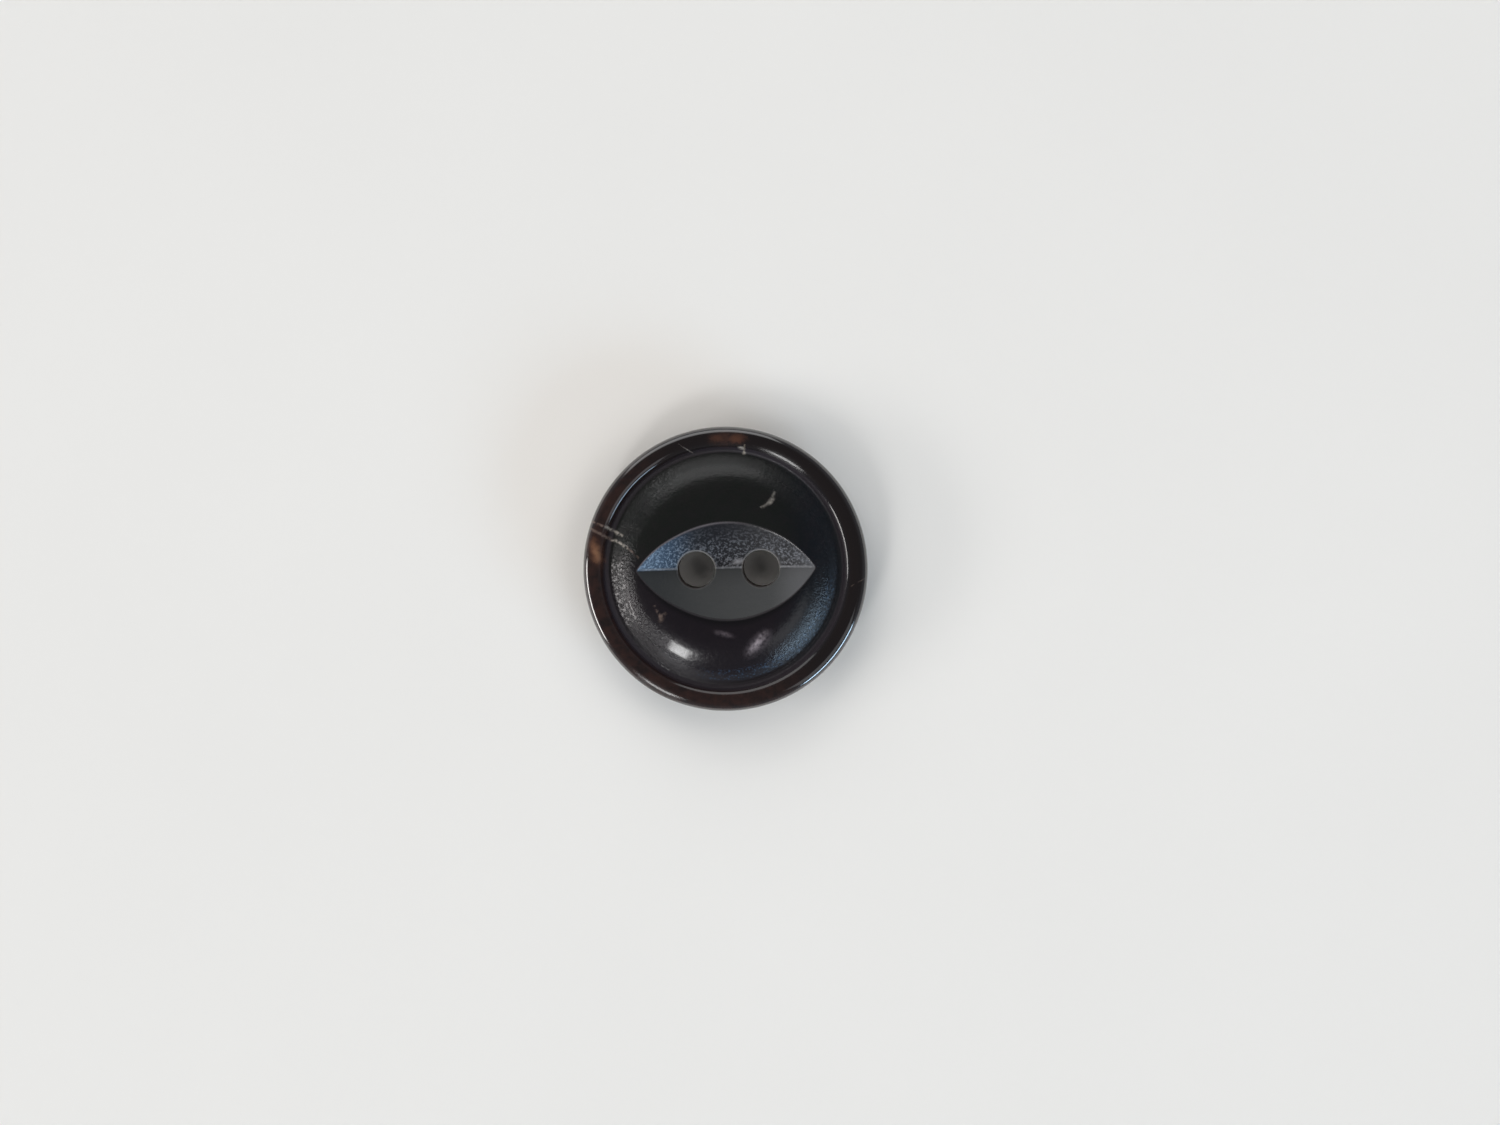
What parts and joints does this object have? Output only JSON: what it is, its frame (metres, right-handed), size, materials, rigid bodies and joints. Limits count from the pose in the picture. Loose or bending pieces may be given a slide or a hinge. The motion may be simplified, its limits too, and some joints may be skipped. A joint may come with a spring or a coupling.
{
  "type": "sew-on button",
  "caption": "Round sew-on button with a beaded rim, a domed face and a V-cut fish-eye recess that holds the sew holes; fastens a garment by thread.",
  "frame": {"origin": "centre of the round outline, on the flat back the button rests on", "axes": "+Z out of the face, +X along the line through the sew holes, +Y across it"},
  "size_m": [0.018, 0.018, 0.0036],
  "materials": {
    "horn": "polished dark horn with red-brown translucent patches; satin in the eye recess"
  },
  "bodies": {
    "root": {"button_body": "horn"}
  },
  "joints": []
}
